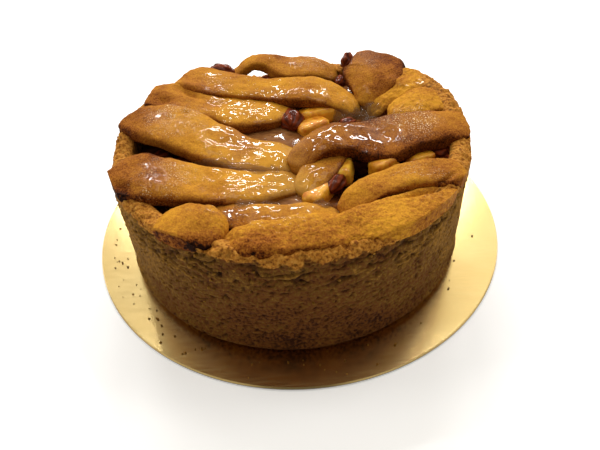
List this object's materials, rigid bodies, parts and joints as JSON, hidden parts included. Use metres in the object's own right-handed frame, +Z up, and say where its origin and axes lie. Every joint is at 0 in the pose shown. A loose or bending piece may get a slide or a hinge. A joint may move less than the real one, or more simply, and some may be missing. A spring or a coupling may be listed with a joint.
{
  "type": "apple pie",
  "caption": "Deep round apple pie with a rough glazed pastry lattice over apple and raisin filling, on a gold card.",
  "frame": {"origin": "centre of the underside of the round card that carries the pie", "axes": "+Z up, -Y towards the front of the pie as seen in the picture, +X to the right"},
  "size_m": [0.23, 0.23, 0.0741],
  "materials": {
    "gold_card": "satin",
    "crust": "matte",
    "lattice": "satin",
    "filling": "gloss",
    "apple_chunk": "gloss",
    "raisin": "gloss"
  },
  "bodies": {
    "root": {"apple_back": "apple_chunk", "apple_back_right": "apple_chunk", "apple_far_right": "apple_chunk", "apple_green": "apple_chunk", "apple_orange": "apple_chunk", "apple_right": "apple_chunk", "cake_board": "gold_card", "crust": "crust", "filling": "filling", "raisin_back": "raisin", "raisin_back_left": "raisin", "raisin_back_right": "raisin", "raisin_burnt_left": "raisin", "raisin_burnt_right": "raisin", "raisin_front": "raisin", "raisin_left": "raisin", "raisin_left_inner": "raisin", "raisin_left_small": "raisin", "raisin_middle": "raisin", "raisin_middle_right": "raisin", "raisin_right": "raisin", "raisin_right_red": "raisin", "raisin_right_rim": "raisin", "strip_back_arch": "lattice", "strip_back_left": "lattice", "strip_centre": "lattice", "strip_front_inner": "lattice", "strip_front_left": "lattice", "strip_front_middle": "lattice", "strip_left_back": "lattice", "strip_left_front": "lattice", "strip_left_middle": "lattice", "strip_right_back_high": "lattice", "strip_right_back_lobe": "lattice", "strip_right_back_low": "lattice", "strip_right_front_high": "lattice", "strip_right_front_low": "lattice", "strip_right_middle": "lattice"}
  },
  "joints": []
}
